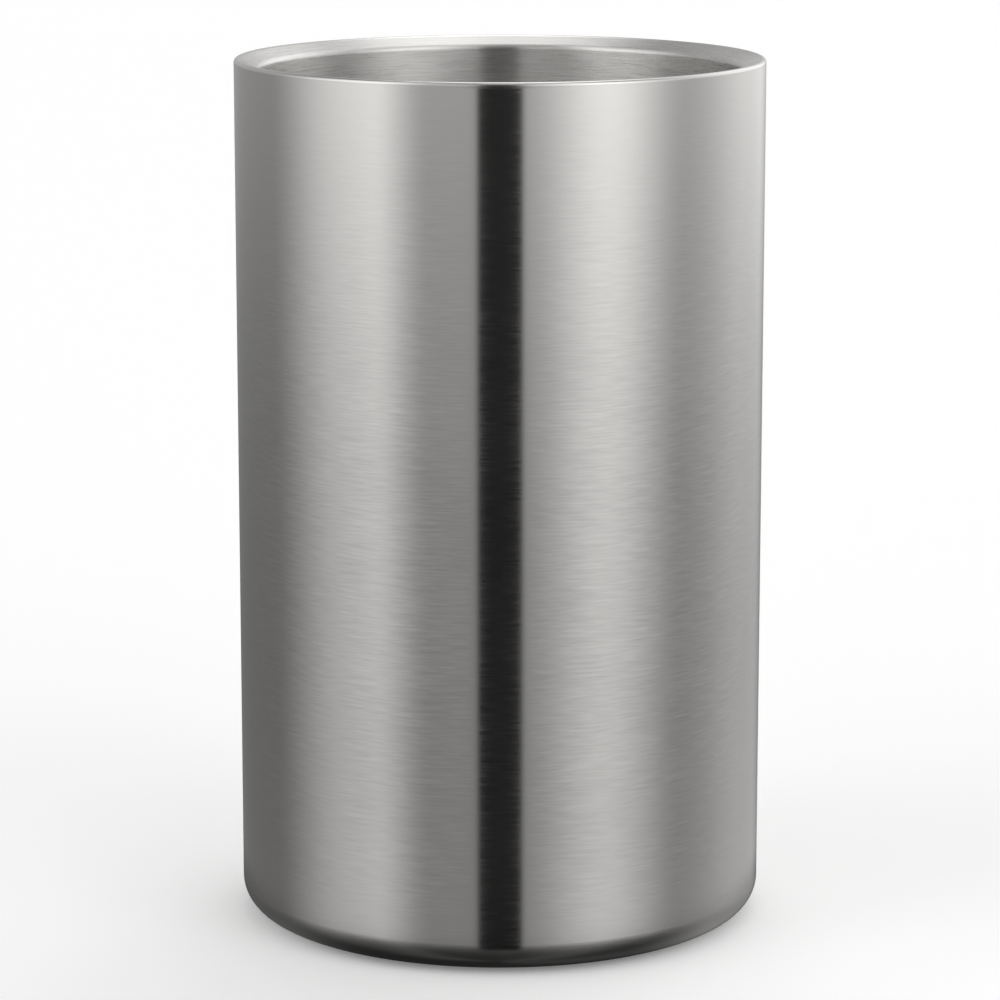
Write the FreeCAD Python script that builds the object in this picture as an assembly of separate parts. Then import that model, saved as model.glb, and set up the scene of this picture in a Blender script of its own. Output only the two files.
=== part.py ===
import FreeCAD, Part
import math
import os

# A double-walled, evacuated steel cooler that keeps a wine or champagne bottle cold at the table.
# Two drawn steel cups stand one inside the other. They meet only at the rim weld, and the gap
# between them is pumped out through the bottom and sealed with a bead of solder glass.
# Sizes are in millimetres. +Z is up along the cooler's axis, and the origin is the middle of the
# plane that it rests on.

# Overall sizes
outer_diameter = 120.0        # across the straight outer wall
overall_height = 197.5        # resting plane to the top of the rim
wall_build = 5.6              # outer face to bore: two sheets and the evacuated gap between them

# Outer shell
shell_sheet = 0.5
heel_radius = 7.0             # outside radius of the rounded bottom edge
resting_flat = 6.0            # width of the flat ring inside the heel
recess_bend = 1.1             # inside bend where the resting flat turns up into the base recess
seat_bend = 0.8               # inside bend at the top of the recess wall
seat_width = 6.0              # flange that the vacuum bottom is welded under

# Rim and inner liner
liner_sheet = 0.5
lip_slope = 25.0              # fall of the lip towards the bore, degrees
lip_bend = 1.0                # inside bend from the lip into the bore
rim_edge_radius = 0.8         # ground and polished edge of the rim weld
rim_weld_width = 1.5          # outer face to the edge of the liner
rim_weld_depth = 1.3          # top of the rim to the edge of the shell
floor_corner = 8.0            # radius between wall and floor inside the chamber
floor_step = 1.2              # the middle of the floor is pressed up by this much
floor_step_run = 2.4          # slope of that step, measured along the floor
floor_step_margin = 7.0       # flat ring between the floor corner and the step
floor_bend = 2.0

# Base recess: foot ring, base cap and its bond
foot_proud = 0.5              # the foot ring stands this far below the steel
foot_width = 6.0
foot_inset = 5.5              # recess wall to foot ring
foot_fit = 0.1                # clearance each side of the foot ring in its groove
foot_edge = 0.6               # rounding of the foot ring's lower edges
cap_sheet = 0.5
cap_recess = 0.4              # the cap lies this far inside the resting flat
cap_fit = 0.15                # clearance round the cap in the recess
cap_bend = 0.3
cap_skirt = 1.8               # height of the cap's turned-up edge
groove_depth = 1.5            # foot ring groove pressed into the cap
bond_thickness = 0.6
bond_margin = 0.6             # the bond stops this far short of the groove's edges

# Vacuum bottom, its weld and its seal
bottom_sheet = 0.7
bottom_weld_gap = 1.1         # gap that the weld bead fills round the vacuum bottom
bottom_rise = 1.5             # the middle of the vacuum bottom is dished in by this much
bottom_rise_run = 2.4
bottom_rise_margin = 2.5      # foot ring groove to the start of the dish
bottom_bend = 0.8
dimple_radius = 6.0           # evacuation dimple in the middle
dimple_depth = 1.4
dimple_run = 1.6
evacuation_hole_radius = 1.2
bead_radius = 3.0             # solder glass bead that closes the evacuation hole
bead_height = 1.1

# Getter and its clip, on the vacuum side of the vacuum bottom
getter_radius = 4.0
getter_thickness = 2.0
getter_edge = 0.3
clip_sheet = 0.3
clip_width = 3.0
clip_foot = 2.6
clip_fit = 0.1                # clearance between the getter's side and the clip
clip_bend = 0.3
floor_gap = 2.0               # evacuated gap between the clip and the liner's floor

# Radii and levels that follow from the sizes above
outer_radius = outer_diameter / 2
bore_radius = outer_radius - wall_build
steel_base = foot_proud
recess_radius = outer_radius - heel_radius - resting_flat
groove_outer = recess_radius - foot_inset
groove_inner = groove_outer - foot_width - 2 * foot_fit
cap_level = steel_base + cap_recess
groove_level = cap_level + groove_depth
bottom_level = groove_level + cap_sheet + bond_thickness
seat_level = bottom_level + bottom_sheet
bottom_radius = recess_radius - bottom_weld_gap
dish_radius = groove_inner - bottom_rise_margin
dish_level = bottom_level + bottom_rise
dimple_level = dish_level + dimple_depth
getter_level = dish_level + bottom_sheet
floor_level = getter_level + getter_thickness + clip_sheet + floor_gap + liner_sheet

# Points of the rim's cross-section: the polished edge, the lip and the two sheets' ends
slope = math.radians(lip_slope)
edge_centre_r = outer_radius - rim_edge_radius
edge_centre_z = overall_height - rim_edge_radius
lip_start_r = edge_centre_r - rim_edge_radius * math.sin(slope)
lip_start_z = edge_centre_z + rim_edge_radius * math.cos(slope)
liner_end_r = outer_radius - rim_weld_width
liner_end_z = lip_start_z - (lip_start_r - liner_end_r) * math.tan(slope)
bore_top_z = lip_start_z - (lip_start_r - bore_radius) * math.tan(slope)
shell_top_z = overall_height - rim_weld_depth


def point(r, z):
    """A point of a cross-section, at radius r and height z."""
    return FreeCAD.Vector(r, 0, z)


def left_of(direction):
    """The unit direction to the left of a travel direction in a cross-section."""
    return point(-direction.z, direction.x)


def heading(start, end):
    """The unit direction from one point to another."""
    return (end - start).normalize()


def turns_left(before, after):
    """True where a path turns to its left, from one direction to the next."""
    return before.x * after.z - before.z * after.x > 0


def rounded_path(points, radii):
    """Edges through the points, with an arc of the given radius at each corner between the ends."""
    edges = []
    last = points[0]
    for index in range(1, len(points) - 1):
        corner = points[index]
        before = heading(points[index - 1], corner)
        after = heading(corner, points[index + 1])
        half_turn = before.getAngle(after) / 2
        reach = radii[index] * math.tan(half_turn)
        start = corner - before * reach
        end = corner + after * reach
        inward = (after - before).normalize()
        middle = corner + inward * radii[index] * (1 / math.cos(half_turn) - 1)
        edges.append(Part.LineSegment(last, start).toShape())
        edges.append(Part.Arc(start, middle, end).toShape())
        last = end
    edges.append(Part.LineSegment(last, points[-1]).toShape())
    return edges


def sheet_section(corners, thickness):
    """Cross-section of a bent sheet that lies to the left of a path.

    Each corner is (r, z, inside bend radius). The ends' bend radius is not used.
    """
    near = [point(r, z) for r, z, bend in corners]
    near_radii = [bend for r, z, bend in corners]
    far_radii = list(near_radii)
    directions = [heading(near[i], near[i + 1]) for i in range(len(near) - 1)]
    far = [near[0] + left_of(directions[0]) * thickness]
    for index in range(1, len(near) - 1):
        before = directions[index - 1]
        after = directions[index]
        mitre = left_of(before) + left_of(after)
        far.append(near[index] + mitre * (thickness / (1 + before.dot(after))))
        if turns_left(before, after):
            near_radii[index] += thickness
        else:
            far_radii[index] += thickness
    far.append(near[-1] + left_of(directions[-1]) * thickness)
    edges = rounded_path(near, near_radii)
    edges += rounded_path(far, far_radii)
    edges.append(Part.LineSegment(near[0], far[0]).toShape())
    edges.append(Part.LineSegment(near[-1], far[-1]).toShape())
    return Part.Face(Part.Wire(Part.__sortEdges__(edges)))


def turned(section):
    """The solid that a cross-section sweeps out round the axis."""
    return section.revolve(FreeCAD.Vector(), FreeCAD.Vector(0, 0, 1), 360)


def outer_shell():
    """Outer wall, rounded heel, resting flat, base recess and weld seat, drawn from one sheet."""
    corners = [
        (recess_radius - seat_width, seat_level, 0),
        (recess_radius, seat_level, seat_bend),
        (recess_radius, steel_base, recess_bend),
        (outer_radius, steel_base, heel_radius - shell_sheet),
        (outer_radius, shell_top_z, 0),
    ]
    return turned(sheet_section(corners, shell_sheet))


def inner_liner():
    """Bottle chamber: the sloping lip, the bore and a floor with a raised middle."""
    step_radius = bore_radius - floor_corner - floor_step_margin
    raised_level = floor_level + floor_step
    corners = [
        (liner_end_r, liner_end_z, 0),
        (bore_radius, bore_top_z, lip_bend),
        (bore_radius, floor_level, floor_corner),
        (step_radius, floor_level, floor_bend),
        (step_radius - floor_step_run, raised_level, floor_bend),
        (0, raised_level, 0),
    ]
    return turned(sheet_section(corners, liner_sheet))


def lip_weld():
    """Weld bead between the shell's top edge and the liner's edge, ground and polished flush."""
    half_arc = (math.pi / 2 + slope) / 2
    arc_middle = point(
        edge_centre_r + rim_edge_radius * math.cos(half_arc),
        edge_centre_z + rim_edge_radius * math.sin(half_arc),
    )
    shell_outside = point(outer_radius, shell_top_z)
    shell_inside = point(outer_radius - shell_sheet, shell_top_z)
    edge_start = point(outer_radius, edge_centre_z)
    edge_end = point(lip_start_r, lip_start_z)
    liner_top = point(liner_end_r, liner_end_z)
    liner_under = liner_top + point(math.sin(slope), -math.cos(slope)) * liner_sheet
    edges = [
        Part.LineSegment(shell_outside, edge_start).toShape(),
        Part.Arc(edge_start, arc_middle, edge_end).toShape(),
        Part.LineSegment(edge_end, liner_top).toShape(),
        Part.LineSegment(liner_top, liner_under).toShape(),
        Part.LineSegment(liner_under, shell_inside).toShape(),
        Part.LineSegment(shell_inside, shell_outside).toShape(),
    ]
    return turned(Part.Face(Part.Wire(edges)))


def vacuum_bottom():
    """Pressed disc that closes the evacuated gap, with its dished middle and evacuation dimple."""
    corners = [
        (evacuation_hole_radius, dimple_level, 0),
        (dimple_radius - dimple_run, dimple_level, bottom_bend),
        (dimple_radius, dish_level, bottom_bend),
        (dish_radius - bottom_rise_run, dish_level, bottom_bend),
        (dish_radius, bottom_level, bottom_bend),
        (bottom_radius, bottom_level, 0),
    ]
    return turned(sheet_section(corners, bottom_sheet))


def bottom_weld():
    """Weld bead in the corner between the vacuum bottom's edge, the seat and the recess wall."""
    bend_middle = seat_bend * math.cos(math.pi / 4)
    bend_centre_r = recess_radius - seat_bend
    bend_centre_z = seat_level - seat_bend
    disc_low = point(bottom_radius, bottom_level)
    disc_high = point(bottom_radius, seat_level)
    bend_top = point(bend_centre_r, seat_level)
    bend_between = point(bend_centre_r + bend_middle, bend_centre_z + bend_middle)
    bend_side = point(recess_radius, bend_centre_z)
    edges = [
        Part.LineSegment(disc_low, disc_high).toShape(),
        Part.LineSegment(disc_high, bend_top).toShape(),
        Part.Arc(bend_top, bend_between, bend_side).toShape(),
        Part.LineSegment(bend_side, disc_low).toShape(),
    ]
    return turned(Part.Face(Part.Wire(edges)))


def evacuation_seal():
    """Solder glass bead under the dimple, with the plug that ran up into the evacuation hole."""
    plug_top = dimple_level + bottom_sheet
    bead_side = point(bead_radius, dimple_level)
    bead_bottom = point(0, dimple_level - bead_height)
    sphere_radius = (bead_radius ** 2 + bead_height ** 2) / (2 * bead_height)
    sphere_z = bead_bottom.z + sphere_radius
    half_angle = math.asin(bead_radius / sphere_radius) / 2
    bead_between = point(
        sphere_radius * math.sin(half_angle),
        sphere_z - sphere_radius * math.cos(half_angle),
    )
    plug_low = point(evacuation_hole_radius, dimple_level)
    plug_high = point(evacuation_hole_radius, plug_top)
    axis_top = point(0, plug_top)
    edges = [
        Part.LineSegment(axis_top, plug_high).toShape(),
        Part.LineSegment(plug_high, plug_low).toShape(),
        Part.LineSegment(plug_low, bead_side).toShape(),
        Part.Arc(bead_side, bead_between, bead_bottom).toShape(),
        Part.LineSegment(bead_bottom, axis_top).toShape(),
    ]
    return turned(Part.Face(Part.Wire(edges)))


def getter_place():
    """Middle of the getter's underside, halfway out on the vacuum bottom's dish."""
    dish_flat = dish_radius - bottom_rise_run
    return FreeCAD.Vector((dish_flat + dimple_radius) / 2, 0, getter_level)


def getter():
    """Sintered tablet that takes up the last of the gas in the evacuated gap."""
    tablet = Part.makeCylinder(getter_radius, getter_thickness)
    tablet = tablet.makeChamfer(getter_edge, [tablet.Edges[0], tablet.Edges[2]])
    tablet.translate(getter_place())
    return tablet


def getter_clip():
    """Bent strap over the getter, with a foot each side spot-welded to the vacuum bottom."""
    half_span = getter_radius + clip_fit
    corners = [
        (-half_span - clip_foot, 0, 0),
        (-half_span, 0, clip_bend),
        (-half_span, getter_thickness, clip_bend),
        (half_span, getter_thickness, clip_bend),
        (half_span, 0, clip_bend),
        (half_span + clip_foot, 0, 0),
    ]
    section = sheet_section(corners, clip_sheet)
    section.translate(FreeCAD.Vector(0, -clip_width / 2, 0))
    clip = section.extrude(FreeCAD.Vector(0, clip_width, 0))
    clip.rotate(FreeCAD.Vector(), FreeCAD.Vector(0, 0, 1), 90)
    clip.translate(getter_place())
    return clip


def base_cap():
    """Cover over the base recess, with the groove that holds the foot ring."""
    cap_radius = recess_radius - cap_fit
    corners = [
        (0, cap_level, 0),
        (groove_inner, cap_level, cap_bend),
        (groove_inner, groove_level, cap_bend),
        (groove_outer, groove_level, cap_bend),
        (groove_outer, cap_level, cap_bend),
        (cap_radius, cap_level, cap_bend),
        (cap_radius, cap_level + cap_skirt, 0),
    ]
    return turned(sheet_section(corners, cap_sheet))


def cap_bond():
    """Ring of adhesive between the cap's groove and the vacuum bottom."""
    ring_inner = groove_inner + bond_margin
    ring_outer = groove_outer - bond_margin
    outer = Part.makeCylinder(ring_outer, bond_thickness, point(0, groove_level + cap_sheet))
    hole = Part.makeCylinder(ring_inner, bond_thickness, point(0, groove_level + cap_sheet))
    return outer.cut(hole)


def foot_ring():
    """Silicone ring that the cooler stands on."""
    ring_inner = groove_inner + foot_fit
    ring_outer = groove_outer - foot_fit
    ring_middle = (ring_inner + ring_outer) / 2
    points = [
        point(ring_middle, groove_level),
        point(ring_inner, groove_level),
        point(ring_inner, 0),
        point(ring_outer, 0),
        point(ring_outer, groove_level),
        point(ring_middle, groove_level),
    ]
    edges = rounded_path(points, [0, cap_bend, foot_edge, foot_edge, cap_bend, 0])
    return turned(Part.Face(Part.Wire(edges)))


nodes = {
    "outer_shell": outer_shell,
    "inner_liner": inner_liner,
    "lip_weld": lip_weld,
    "vacuum_bottom": vacuum_bottom,
    "bottom_weld": bottom_weld,
    "evacuation_seal": evacuation_seal,
    "getter": getter,
    "getter_clip": getter_clip,
    "base_cap": base_cap,
    "cap_bond": cap_bond,
    "foot_ring": foot_ring,
}

os.makedirs("parts", exist_ok=True)
for name, make in nodes.items():
    make().exportStep("parts/" + name + ".step")
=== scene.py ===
import math

import bpy
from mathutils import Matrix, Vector


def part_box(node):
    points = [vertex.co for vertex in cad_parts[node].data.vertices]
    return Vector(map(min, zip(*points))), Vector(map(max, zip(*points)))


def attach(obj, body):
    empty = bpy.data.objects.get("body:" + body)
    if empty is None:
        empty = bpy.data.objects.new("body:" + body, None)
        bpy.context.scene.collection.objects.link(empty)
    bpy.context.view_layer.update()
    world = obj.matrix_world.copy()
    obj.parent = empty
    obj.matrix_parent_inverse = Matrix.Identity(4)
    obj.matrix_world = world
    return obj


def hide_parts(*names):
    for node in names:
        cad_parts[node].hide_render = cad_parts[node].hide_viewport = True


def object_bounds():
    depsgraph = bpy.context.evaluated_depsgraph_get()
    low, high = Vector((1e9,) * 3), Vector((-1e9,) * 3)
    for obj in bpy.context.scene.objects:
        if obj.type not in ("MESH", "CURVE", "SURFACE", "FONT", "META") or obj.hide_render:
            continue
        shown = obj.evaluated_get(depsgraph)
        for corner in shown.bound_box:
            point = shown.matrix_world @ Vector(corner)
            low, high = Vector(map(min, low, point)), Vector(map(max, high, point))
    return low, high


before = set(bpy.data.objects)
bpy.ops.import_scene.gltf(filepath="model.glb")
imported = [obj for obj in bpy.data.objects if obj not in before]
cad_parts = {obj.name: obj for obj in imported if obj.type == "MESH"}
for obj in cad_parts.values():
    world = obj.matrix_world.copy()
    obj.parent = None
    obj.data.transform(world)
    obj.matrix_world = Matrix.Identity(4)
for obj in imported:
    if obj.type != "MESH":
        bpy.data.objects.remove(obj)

cad_low, cad_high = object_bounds()

# Sizes in metres. Overall sizes are read from the frame, and the others are the cooler's own.
MM = 0.001
SAME_PLACE = 1e-8                  # samples closer than this share their vertices
SEGMENTS = 288                     # faces round each turned piece
BEND_STEP = math.radians(7.5)      # turn of one face along a bend
HEEL_RADIUS = 7.0 * MM
SHELL_SHEET = 0.5 * MM
LINER_SHEET = 0.5 * MM
WALL_BUILD = 5.6 * MM              # outer face to bore
EDGE_RADIUS = 0.8 * MM
LIP_SLOPE = math.radians(25.0)
LIP_BEND = 1.0 * MM
FLOOR_CORNER = 8.0 * MM
FLOOR_BEND = 2.0 * MM
FLOOR_STEP = 1.2 * MM
FLOOR_STEP_RUN = 2.4 * MM
FLOOR_STEP_MARGIN = 7.0 * MM
RESTING_FLAT = 6.0 * MM
RECESS_BEND = 1.1 * MM
SEAT_BEND = 0.8 * MM
SEAT_WIDTH = 6.0 * MM
CAP_SHEET = 0.5 * MM
CAP_BEND = 0.3 * MM
FOOT_FIT = 0.1 * MM
FOOT_EDGE = 0.6 * MM


def reach(node):
    """Largest distance of a CAD node's mesh from the cooler's axis."""
    return max(math.hypot(v.co.x, v.co.y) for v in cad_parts[node].data.vertices)


def inner_reach(node):
    """Smallest distance of a CAD node's mesh from the cooler's axis."""
    return min(math.hypot(v.co.x, v.co.y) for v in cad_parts[node].data.vertices)


OUTER = reach("outer_shell")
BORE = OUTER - WALL_BUILD
TOP = cad_high.z
SHELL_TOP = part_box("outer_shell")[1].z
SHELL_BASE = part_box("outer_shell")[0].z
SEAT_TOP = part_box("bottom_weld")[1].z
LINER_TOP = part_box("inner_liner")[1].z
LINER_END = reach("inner_liner") - LINER_SHEET * math.sin(LIP_SLOPE)
FLOOR_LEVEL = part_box("inner_liner")[0].z + LINER_SHEET
RECESS = OUTER - HEEL_RADIUS - RESTING_FLAT
CAP_BASE, CAP_SKIRT_TOP = (corner.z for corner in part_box("base_cap"))
CAP_OUTER = reach("base_cap")
FOOT_INNER, FOOT_OUTER = inner_reach("foot_ring"), reach("foot_ring")
FOOT_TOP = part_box("foot_ring")[1].z


# Turned pieces. A cross-section is a list of smooth stretches, and a stretch is a list of
# (radius, height, normal) samples with the sheet on its left. Stretches meet at sharp edges.

def flat(start, end):
    """Two samples along a straight stretch."""
    along = (Vector(end) - Vector(start)).normalized()
    normal = Vector((along.y, -along.x))
    return [(*start, normal), (*end, normal)]


def bend(start, end, centre, out):
    """Samples along an arc about a centre. out is 1 where it bulges away from the sheet."""
    centre = Vector(centre)
    first = Vector(start) - centre
    turn = first.angle_signed(Vector(end) - centre)
    steps = max(2, math.ceil(abs(turn) / BEND_STEP))
    samples = []
    for step in range(steps + 1):
        angle = -turn * step / steps
        spoke = Vector((
            first.x * math.cos(angle) - first.y * math.sin(angle),
            first.x * math.sin(angle) + first.y * math.cos(angle),
        ))
        samples.append((*(centre + spoke), spoke.normalized() * out))
    return samples


def rounded(points, radii):
    """Samples of a path through the points, with a bend of the given radius at each corner."""
    samples = []
    last = Vector(points[0])
    for index in range(1, len(points) - 1):
        corner = Vector(points[index])
        before = (corner - Vector(points[index - 1])).normalized()
        after = (Vector(points[index + 1]) - corner).normalized()
        half_turn = before.angle(after) / 2
        reach_back = radii[index] * math.tan(half_turn)
        start = corner - before * reach_back
        end = corner + after * reach_back
        inward = (after - before).normalized()
        centre = corner + inward * radii[index] / math.cos(half_turn)
        turns_left = before.x * after.y - before.y * after.x > 0
        samples += flat(last, start)
        samples += bend(start, end, centre, 1 if turns_left else -1)
        last = end
    samples += flat(last, points[-1])
    return samples


def sheet(corners, thickness):
    """Cross-section of a bent sheet to the left of a path of (radius, height, inside bend)."""
    near = [Vector((r, z)) for r, z, inside in corners]
    near_radii = [inside for r, z, inside in corners]
    far_radii = list(near_radii)
    ways = [(near[i + 1] - near[i]).normalized() for i in range(len(near) - 1)]
    left = [Vector((-way.y, way.x)) for way in ways]
    far = [near[0] + left[0] * thickness]
    for index in range(1, len(near) - 1):
        before, after = ways[index - 1], ways[index]
        mitre = left[index - 1] + left[index]
        far.append(near[index] + mitre * (thickness / (1 + before.dot(after))))
        if before.x * after.y - before.y * after.x > 0:
            near_radii[index] += thickness
        else:
            far_radii[index] += thickness
    far.append(near[-1] + left[-1] * thickness)
    far.reverse()
    far_radii.reverse()
    return [
        rounded(near, near_radii),
        flat(near[-1], far[0]),
        rounded(far, far_radii),
        flat(far[-1], near[0]),
    ]


def turned_piece(name, stretches, material):
    """A closed mesh that a cross-section sweeps out round the axis, with exact normals."""
    rings, faces, normals, vertices = [], [], [], []
    turns = [math.tau * step / SEGMENTS for step in range(SEGMENTS)]

    def ring(radius, height):
        """Vertices of one ring. A ring that the section has just passed or began with is reused."""
        if rings and math.dist(rings[-1][0], (radius, height)) < SAME_PLACE:
            return rings[-1][1]
        if rings and math.dist(rings[0][0], (radius, height)) < SAME_PLACE:
            return rings[0][1]
        start = len(vertices)
        if radius < SAME_PLACE:
            vertices.append((0, 0, height))
            rings.append(((radius, height), [start] * SEGMENTS))
        else:
            vertices.extend((radius * math.cos(a), radius * math.sin(a), height) for a in turns)
            rings.append(((radius, height), list(range(start, start + SEGMENTS))))
        return rings[-1][1]

    def around(normal, angle):
        """The section's normal, turned round the axis."""
        return (normal.x * math.cos(angle), normal.x * math.sin(angle), normal.y)

    for stretch in stretches:
        for (r0, z0, n0), (r1, z1, n1) in zip(stretch, stretch[1:]):
            if math.dist((r0, z0), (r1, z1)) < SAME_PLACE or max(r0, r1) < SAME_PLACE:
                continue
            low, high = ring(r0, z0), ring(r1, z1)
            for step in range(SEGMENTS):
                after = (step + 1) % SEGMENTS
                a, b = turns[step], turns[after]
                corners = [(low[step], around(n0, a)), (low[after], around(n0, b)),
                           (high[after], around(n1, b)), (high[step], around(n1, a))]
                if low[step] == low[after]:
                    corners.pop(1)
                elif high[step] == high[after]:
                    corners.pop(2)
                faces.append([vertex for vertex, normal in corners])
                normals.extend(normal for vertex, normal in corners)

    mesh = bpy.data.meshes.new(name)
    mesh.from_pydata(vertices, [], faces)
    mesh.shade_smooth()
    mesh.normals_split_custom_set(normals)
    mesh.materials.append(material)
    piece = bpy.data.objects.new(name, mesh)
    bpy.context.scene.collection.objects.link(piece)
    return piece


def stand_for(piece, node):
    """The piece rides on the cooler's one body and is shown in place of a CAD node."""
    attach(piece, "root")
    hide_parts(node)


def shell_section():
    """Outer wall, heel, resting flat and base recess."""
    corners = [
        (RECESS - SEAT_WIDTH, SEAT_TOP, 0),
        (RECESS, SEAT_TOP, SEAT_BEND),
        (RECESS, SHELL_BASE, RECESS_BEND),
        (OUTER, SHELL_BASE, HEEL_RADIUS - SHELL_SHEET),
        (OUTER, SHELL_TOP, 0),
    ]
    return sheet(corners, SHELL_SHEET)


def liner_section():
    """Lip, bore and floor of the bottle chamber."""
    step_radius = BORE - FLOOR_CORNER - FLOOR_STEP_MARGIN
    corners = [
        (LINER_END, LINER_TOP, 0),
        (BORE, LINER_TOP - (LINER_END - BORE) * math.tan(LIP_SLOPE), LIP_BEND),
        (BORE, FLOOR_LEVEL, FLOOR_CORNER),
        (step_radius, FLOOR_LEVEL, FLOOR_BEND),
        (step_radius - FLOOR_STEP_RUN, FLOOR_LEVEL + FLOOR_STEP, FLOOR_BEND),
        (0, FLOOR_LEVEL + FLOOR_STEP, 0),
    ]
    return sheet(corners, LINER_SHEET)


def lip_section():
    """The rim weld: outer wall, polished edge and the top of the sloping lip."""
    centre = Vector((OUTER - EDGE_RADIUS, TOP - EDGE_RADIUS))
    lip_start = centre + Vector((-math.sin(LIP_SLOPE), math.cos(LIP_SLOPE))) * EDGE_RADIUS
    edge_start = (OUTER, centre.y)
    liner_top = Vector((LINER_END, LINER_TOP))
    liner_under = liner_top + Vector((math.sin(LIP_SLOPE), -math.cos(LIP_SLOPE))) * LINER_SHEET
    shell_inside = (OUTER - SHELL_SHEET, SHELL_TOP)
    shell_outside = (OUTER, SHELL_TOP)
    skin = flat(shell_outside, edge_start)
    skin += bend(edge_start, lip_start, centre, 1)
    skin += flat(lip_start, liner_top)
    return [
        skin,
        flat(liner_top, liner_under),
        flat(liner_under, shell_inside),
        flat(shell_inside, shell_outside),
    ]


def cap_section():
    """Base cap with its foot ring groove and turned-up edge."""
    corners = [
        (0, CAP_BASE, 0),
        (FOOT_INNER - FOOT_FIT, CAP_BASE, CAP_BEND),
        (FOOT_INNER - FOOT_FIT, FOOT_TOP, CAP_BEND),
        (FOOT_OUTER + FOOT_FIT, FOOT_TOP, CAP_BEND),
        (FOOT_OUTER + FOOT_FIT, CAP_BASE, CAP_BEND),
        (CAP_OUTER, CAP_BASE, CAP_BEND),
        (CAP_OUTER, CAP_SKIRT_TOP, 0),
    ]
    return sheet(corners, CAP_SHEET)


def foot_section():
    """Silicone ring with rounded edges."""
    middle = (FOOT_INNER + FOOT_OUTER) / 2
    points = [
        (middle, FOOT_TOP),
        (FOOT_INNER, FOOT_TOP),
        (FOOT_INNER, 0),
        (FOOT_OUTER, 0),
        (FOOT_OUTER, FOOT_TOP),
        (middle, FOOT_TOP),
    ]
    return [rounded(points, [0, CAP_BEND, FOOT_EDGE, FOOT_EDGE, CAP_BEND, 0])]


# Materials. Every metal is a Principled surface whose tone, finish and relief vary with noise
# that is laid along the turning marks.

class Graph:
    """Short calls for building a node tree."""

    def __init__(self, tree):
        self.tree = tree
        tree.nodes.clear()

    def add(self, kind, sockets=None, **settings):
        """A new node. A socket takes a value, or another node's output."""
        node = self.tree.nodes.new(kind)
        for name, value in settings.items():
            setattr(node, name, value)
        for name, value in (sockets or {}).items():
            if isinstance(value, bpy.types.NodeSocket):
                self.tree.links.new(value, node.inputs[name])
            else:
                node.inputs[name].default_value = value
        return node

    def math(self, operation, first, second=0.0, third=0.0):
        """The result of a math node."""
        node = self.add("ShaderNodeMath", {0: first, 1: second, 2: third}, operation=operation)
        return node.outputs[0]

    def ramp(self, value, low, high, to_low=0.0, to_high=1.0, smooth=True):
        """A value rescaled from one range to another, smoothly or in a straight line."""
        kind = "SMOOTHSTEP" if smooth else "LINEAR"
        node = self.add("ShaderNodeMapRange", {"Value": value, "From Min": low, "From Max": high,
                        "To Min": to_low, "To Max": to_high}, interpolation_type=kind)
        return node.outputs["Result"]

    def noise(self, vector, scale, detail, roughness):
        """Fractal noise, about 0.5 on average."""
        node = self.add("ShaderNodeTexNoise", {"Vector": vector, "Scale": scale, "Detail": detail,
                        "Roughness": roughness})
        return node.outputs["Fac"]


NOISE_LOW, NOISE_HIGH = 0.3, 0.7   # the range that the noise mostly stays in
PATCH_LENGTH = 4                   # patches of duller and brighter finish, in grain lengths
PATCH_WIDTH = 40                   # and in grain widths
PATCH_SPREAD = 0.04                # change of the roughness between patches
QUARTER_TURN = 0.25                # turns the highlight's stretch across the grain
MOULD_GRAIN = 0.25 * MM            # texture of dull solids: its size, height and spreads
MOULD_DEPTH = 0.03 * MM
MOULD_TONE = 0.15
MOULD_SPREAD = 0.05


def new_material(name):
    """A material with a Principled surface, its graph and the surface node."""
    material = bpy.data.materials.new(name)
    material.use_nodes = True
    graph = Graph(material.node_tree)
    surface = graph.add("ShaderNodeBsdfPrincipled")
    output = graph.add("ShaderNodeOutputMaterial")
    graph.tree.links.new(surface.outputs[0], output.inputs["Surface"])
    return material, graph, surface


def shades(graph, factor, colour, spread):
    """A colour that varies to both sides of the given one."""
    tint = graph.add("ShaderNodeMix", {
        "Factor": factor,
        6: (*[channel * (1 - spread) for channel in colour], 1.0),
        7: (*[min(1.0, channel * (1 + spread)) for channel in colour], 1.0),
    }, data_type="RGBA")
    return tint.outputs[2]


def turned_coordinates(graph, along, across):
    """Coordinates whose grain runs round the axis: long round it and fine across it."""
    place = graph.add("ShaderNodeTexCoord").outputs["Object"]
    split = graph.add("ShaderNodeSeparateXYZ", {0: place})
    x, y, z = split.outputs
    radius = graph.math("SQRT", graph.math("ADD", graph.math("POWER", x, 2.0),
                                           graph.math("POWER", y, 2.0)))
    crossed = graph.math("ADD", radius, z)      # changes across the marks on walls and on discs
    joined = graph.add("ShaderNodeCombineXYZ", {
        0: graph.math("DIVIDE", x, along),
        1: graph.math("DIVIDE", y, along),
        2: graph.math("DIVIDE", crossed, across),
    })
    return joined.outputs[0]


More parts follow.
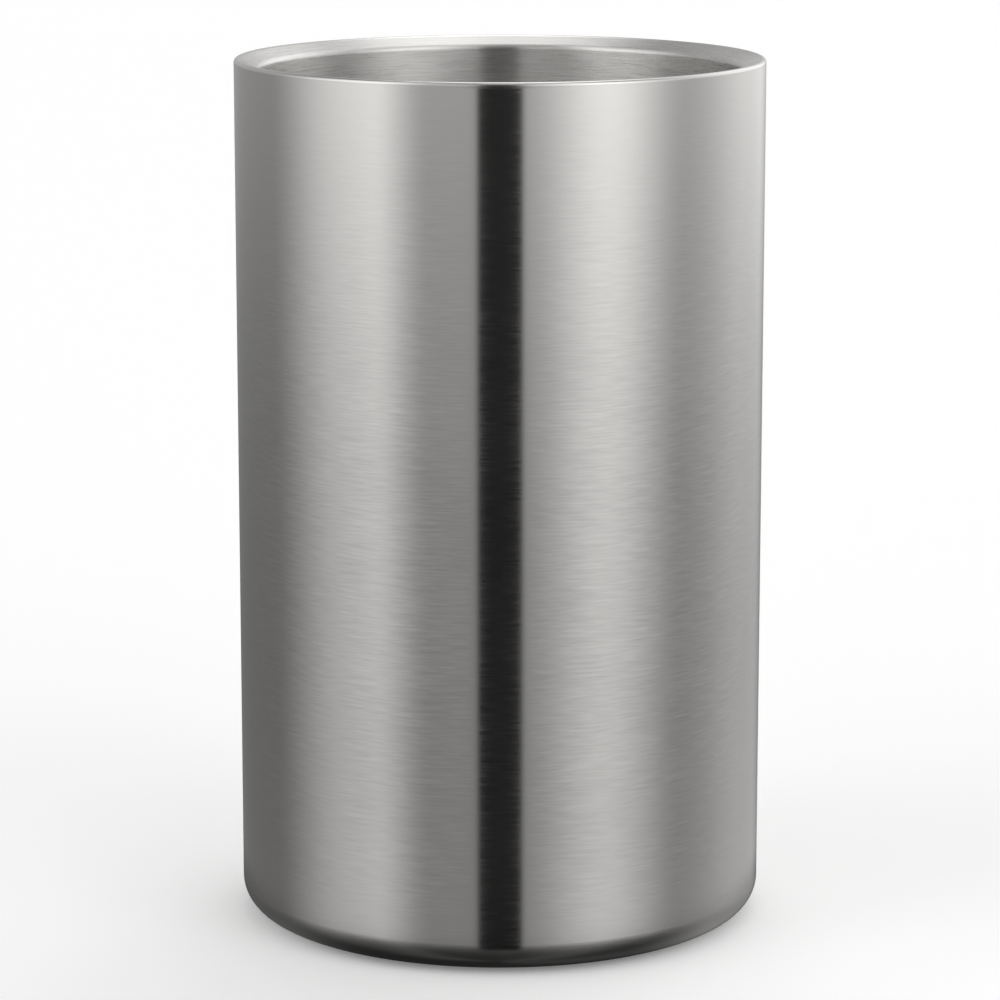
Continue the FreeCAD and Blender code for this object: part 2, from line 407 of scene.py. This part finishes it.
def brushed_metal(name, colour, roughness, anisotropic, length, width, depth, tone, streak):
    """Steel brushed or turned round the axis.

    The grain is length long and width wide. It varies the colour by tone and the roughness by
    streak, and stands depth high.
    """
    material, graph, surface = new_material(name)
    grain = graph.noise(turned_coordinates(graph, length, width),
                        scale=1.0, detail=3.0, roughness=0.6)
    patches = graph.noise(turned_coordinates(graph, PATCH_LENGTH * length, PATCH_WIDTH * width),
                          scale=1.0, detail=2.0, roughness=0.5)
    stroke = graph.ramp(grain, NOISE_LOW, NOISE_HIGH, smooth=False)
    tint = shades(graph, stroke, colour, tone)
    patched = graph.ramp(patches, NOISE_LOW, NOISE_HIGH, roughness * (1 - PATCH_SPREAD),
                         roughness * (1 + PATCH_SPREAD))
    streaked = graph.ramp(grain, NOISE_LOW, NOISE_HIGH, -streak, streak, smooth=False)
    rough = graph.math("ADD", patched, streaked)
    bump = graph.add("ShaderNodeBump", {"Height": grain, "Distance": depth, "Strength": 1.0})
    tangent = graph.add("ShaderNodeTangent", direction_type="RADIAL", axis="Z")
    graph.tree.links.new(tint, surface.inputs["Base Color"])
    graph.tree.links.new(rough, surface.inputs["Roughness"])
    graph.tree.links.new(bump.outputs[0], surface.inputs["Normal"])
    graph.tree.links.new(tangent.outputs[0], surface.inputs["Tangent"])
    surface.inputs["Metallic"].default_value = 1.0
    surface.inputs["Anisotropic"].default_value = anisotropic
    surface.inputs["Anisotropic Rotation"].default_value = QUARTER_TURN
    return material


def soft_material(name, colour, roughness):
    """Rubber, adhesive and other dull solids with a fine moulded texture."""
    material, graph, surface = new_material(name)
    place = graph.add("ShaderNodeTexCoord").outputs["Object"]
    fine = graph.noise(place, scale=1 / MOULD_GRAIN, detail=3.0, roughness=0.6)
    tint = shades(graph, fine, colour, MOULD_TONE)
    rough = graph.ramp(fine, NOISE_LOW, NOISE_HIGH, roughness - MOULD_SPREAD,
                       roughness + MOULD_SPREAD)
    bump = graph.add("ShaderNodeBump", {"Height": fine, "Distance": MOULD_DEPTH, "Strength": 1.0})
    graph.tree.links.new(tint, surface.inputs["Base Color"])
    graph.tree.links.new(rough, surface.inputs["Roughness"])
    graph.tree.links.new(bump.outputs[0], surface.inputs["Normal"])
    return material


STEEL = (0.60, 0.59, 0.575)
# The liner's steel is a lighter copy of the shell's: painted light that brightens the bore.
PAINTED_LIGHT_STEEL = (0.66, 0.65, 0.635)
WELD = (0.42, 0.38, 0.33)
shell_steel = brushed_metal(
    "shell_steel", STEEL, roughness=0.16, anisotropic=0.85,
    length=6 * MM, width=0.3 * MM, depth=0.0004 * MM, tone=0.02, streak=0.035,
)
liner_steel = brushed_metal(
    "liner_steel", PAINTED_LIGHT_STEEL, roughness=0.29, anisotropic=1.0,
    length=8 * MM, width=0.3 * MM, depth=0.001 * MM, tone=0.14, streak=0.03,
)
lip_steel = brushed_metal(
    "lip_steel", STEEL, roughness=0.20, anisotropic=0.6,
    length=9 * MM, width=0.3 * MM, depth=0.0006 * MM, tone=0.01, streak=0.01,
)
cap_steel = brushed_metal(
    "cap_steel", STEEL, roughness=0.28, anisotropic=0.9,
    length=9 * MM, width=0.3 * MM, depth=0.002 * MM, tone=0.04, streak=0.02,
)
mill_steel = brushed_metal(
    "mill_steel", STEEL, roughness=0.35, anisotropic=0.3,
    length=20 * MM, width=1.0 * MM, depth=0.003 * MM, tone=0.03, streak=0.02,
)
weld_steel = brushed_metal(
    "weld_steel", WELD, roughness=0.40, anisotropic=0.0,
    length=1.2 * MM, width=0.8 * MM, depth=0.05 * MM, tone=0.15, streak=0.05,
)
silicone = soft_material("silicone", (0.035, 0.035, 0.038), 0.55)
adhesive = soft_material("adhesive", (0.7, 0.68, 0.62), 0.5)
getter_metal = soft_material("getter_metal", (0.16, 0.16, 0.165), 0.7)
solder_glass = soft_material("solder_glass", (0.03, 0.035, 0.03), 0.12)

for name, section, material in (
    ("outer_shell", shell_section(), shell_steel),
    ("inner_liner", liner_section(), liner_steel),
    ("lip_weld", lip_section(), lip_steel),
    ("base_cap", cap_section(), cap_steel),
    ("foot_ring", foot_section(), silicone),
):
    stand_for(turned_piece(name + "_finished", section, material), name)

for name, material in (
    ("vacuum_bottom", mill_steel),
    ("bottom_weld", weld_steel),
    ("evacuation_seal", solder_glass),
    ("getter", getter_metal),
    ("getter_clip", mill_steel),
    ("cap_bond", adhesive),
):
    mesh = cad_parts[name].data
    mesh.materials.clear()
    mesh.materials.append(material)


# Studio: an even floor, a room of softboxes, and the camera

FLOOR_HALF = 12.0                  # metres
PAPER = (0.94, 0.94, 0.94, 1.0)
PAPER_ROUGHNESS = 0.9
FLOOR_GLOW = 0.15                  # lifts the floor to the white of the backdrop
FLOOR_DROP = 0.02 * MM             # keeps it clear of the foot ring's face
PAINTED_SHADE_REACH = 30 * MM            # how far past the cooler the floor paints shade into its reflections
PAINTED_SHADE_LEVEL = 0.09               # painted shade's level in front, inside the first angle
PAINTED_SHADE_SIDE_LEVEL = 0.5           # painted shade's level beyond the second angle
PAINTED_SHADE_ANGLES = (28.0, 62.0)      # degrees round the axis from the camera's side


def studio_floor():
    """Large pale floor, clear from below.

    Reflections see the room through it, with painted shade close to the cooler that is darkest on
    the camera's side.
    """
    mesh = bpy.data.meshes.new("floor")
    corners = [(-FLOOR_HALF, -FLOOR_HALF, 0), (FLOOR_HALF, -FLOOR_HALF, 0),
               (FLOOR_HALF, FLOOR_HALF, 0), (-FLOOR_HALF, FLOOR_HALF, 0)]
    mesh.from_pydata(corners, [], [(0, 1, 2, 3)])
    material, graph, paper = new_material("floor_paper")
    paper.inputs["Base Color"].default_value = PAPER
    paper.inputs["Roughness"].default_value = PAPER_ROUGHNESS
    paper.inputs["Emission Color"].default_value = (1.0, 1.0, 1.0, 1.0)
    paper.inputs["Emission Strength"].default_value = FLOOR_GLOW
    place = graph.add("ShaderNodeTexCoord").outputs["Object"]
    distance = graph.add("ShaderNodeVectorMath", {0: place}, operation="LENGTH").outputs["Value"]
    back = graph.add("ShaderNodeSeparateXYZ", {0: place}).outputs["Y"]
    facing = graph.math("DIVIDE", graph.math("MULTIPLY", back, -1.0), distance)
    # Painted shade: what reflections see through the floor is darkened near the cooler, most on the
    # camera's side.
    near, far = (math.cos(math.radians(angle)) for angle in PAINTED_SHADE_ANGLES)
    level = graph.ramp(facing, far, near, PAINTED_SHADE_SIDE_LEVEL, PAINTED_SHADE_LEVEL)
    inside = graph.ramp(distance, FOOT_OUTER, RECESS, 1.0, 0.0)
    outside = graph.ramp(distance, OUTER, OUTER + PAINTED_SHADE_REACH, level, 1.0)
    painted_shade = graph.math("MAXIMUM", inside, outside)
    clear = graph.add("ShaderNodeBsdfTransparent", {"Color": painted_shade})
    is_glossy = graph.add("ShaderNodeLightPath").outputs["Is Glossy Ray"]
    is_below = graph.add("ShaderNodeNewGeometry").outputs["Backfacing"]
    is_clear = graph.math("MAXIMUM", is_glossy, is_below)
    mixed = graph.add("ShaderNodeMixShader", {0: is_clear, 1: paper.outputs[0],
                                              2: clear.outputs[0]})
    output = graph.tree.nodes["Material Output"]
    graph.tree.links.new(mixed.outputs[0], output.inputs["Surface"])
    mesh.materials.append(material)
    floor = bpy.data.objects.new("floor", mesh)
    floor.location.z = -FLOOR_DROP
    bpy.context.scene.collection.objects.link(floor)


# Softboxes stand round the room. Each is where it starts, is full, fades and ends, in degrees
# from the camera's side with the right positive, and its brightness.
ROOM_LEVEL = 0.235
SOFTBOXES = (
    (-117.0, -67.0, -57.0, -30.0, 0.47),
    (-75.0, -50.0, -5.0, 5.0, 0.11),
    (-5.0, 5.0, 160.0, 185.0, 0.15),
    (8.0, 47.0, 47.0, 86.0, 0.49),
    (84.0, 132.0, 150.0, 170.0, 0.28),
)
# Brightness against height: elevation in degrees, and share of the level
CLIMB = ((-50.0, 1.0), (-20.0, 0.9), (-13.0, 0.75), (-9.0, 0.95), (-4.0, 1.8), (2.0, 2.2),
         (30.0, 2.2), (56.0, 1.2), (80.0, 1.0))
FLAG_HALF = 9.6                    # half the width of the dark gap that the camera stands in
FLAG_EDGE = 0.8
FLAG_LEVEL = 0.045                 # share of the light that is left in the gap
FLAG_TOP = (30.0, 48.0)            # elevations over which the gap ends above
FLAG_BASE = (-42.0, -30.0)         # and below
OVERHEAD = 2.4
OVERHEAD_AT = (172.0, 60.0)        # direction of the overhead softbox's middle
OVERHEAD_SPREAD = (5.0, 30.0)      # full out to the first angle, gone by the second
BACKDROP = 1.0                     # what the camera sees past the floor


def studio_room():
    """World light: softboxes round the room, one overhead, and a dark gap at the camera."""
    world = bpy.data.worlds.new("studio")
    bpy.context.scene.world = world
    world.use_nodes = True
    graph = Graph(world.node_tree)
    degrees = 180 / math.pi
    way = graph.add("ShaderNodeTexCoord").outputs["Generated"]
    x, y, z = graph.add("ShaderNodeSeparateXYZ", {0: way}).outputs
    azimuth = graph.math("MULTIPLY", graph.math("ARCTAN2", x, graph.math("MULTIPLY", y, -1.0)),
                         degrees)
    elevation = graph.math("MULTIPLY", graph.math("ARCSINE", z), degrees)

    level = ROOM_LEVEL
    for start, full, fade, end, strength in SOFTBOXES:
        middle = (full + fade) / 2
        offset = graph.math("WRAP", graph.math("SUBTRACT", azimuth, middle), 180.0, -180.0)
        rise = graph.ramp(offset, start - middle, full - middle, 0.0, strength)
        fall = graph.ramp(offset, fade - middle, end - middle, 1.0, 0.0)
        level = graph.math("MULTIPLY_ADD", rise, fall, level)

    climb = CLIMB[0][1]
    for (low, share), (high, next_share) in zip(CLIMB, CLIMB[1:]):
        rise = graph.ramp(elevation, low, high, 0.0, next_share - share, smooth=False)
        climb = graph.math("ADD", rise, climb)

    beside = graph.ramp(graph.math("ABSOLUTE", azimuth), FLAG_HALF - FLAG_EDGE,
                        FLAG_HALF + FLAG_EDGE, FLAG_LEVEL, 1.0)
    above = graph.ramp(elevation, *FLAG_TOP)
    below = graph.ramp(elevation, *FLAG_BASE, 1.0, 0.0)
    gap = graph.math("MAXIMUM", beside, graph.math("MAXIMUM", above, below))
    sides = graph.math("MULTIPLY", graph.math("MULTIPLY", level, climb), gap)

    turn, tilt = (math.radians(angle) for angle in OVERHEAD_AT)
    towards = (math.sin(turn) * math.cos(tilt), -math.cos(turn) * math.cos(tilt), math.sin(tilt))
    facing = graph.add("ShaderNodeVectorMath", {0: way, 1: towards}, operation="DOT_PRODUCT")
    away = graph.math("MULTIPLY", graph.math("ARCCOSINE", facing.outputs["Value"]), degrees)
    overhead = graph.ramp(away, *OVERHEAD_SPREAD, OVERHEAD, 0.0)

    light = graph.math("MAXIMUM", sides, overhead)
    is_camera = graph.add("ShaderNodeLightPath").outputs["Is Camera Ray"]
    shown = graph.add("ShaderNodeMix", {"Factor": is_camera, 2: light, 3: BACKDROP},
                      data_type="FLOAT")
    background = graph.add("ShaderNodeBackground", {"Color": shown.outputs[0], "Strength": 1.0})
    output = graph.add("ShaderNodeOutputWorld")
    graph.tree.links.new(background.outputs[0], output.inputs["Surface"])


CAMERA_DISTANCE = 0.927            # from the axis, along -Y
CAMERA_HEIGHT = 0.281              # above the resting plane
CAMERA_TILT = math.radians(11.31)  # below the horizon
LENS = 147.7                       # millimetres
SENSOR = 36.0


def studio_camera():
    """The camera, level from side to side and looking down at the cooler."""
    camera = bpy.data.objects.new("camera", bpy.data.cameras.new("camera"))
    bpy.context.scene.collection.objects.link(camera)
    camera.location = (0, -CAMERA_DISTANCE, CAMERA_HEIGHT)
    camera.rotation_euler = (math.pi / 2 - CAMERA_TILT, 0, 0)
    camera.data.sensor_width = SENSOR
    camera.data.lens = LENS
    bpy.context.scene.camera = camera


studio_floor()
studio_room()
studio_camera()
bpy.context.scene.view_settings.view_transform = "Standard"
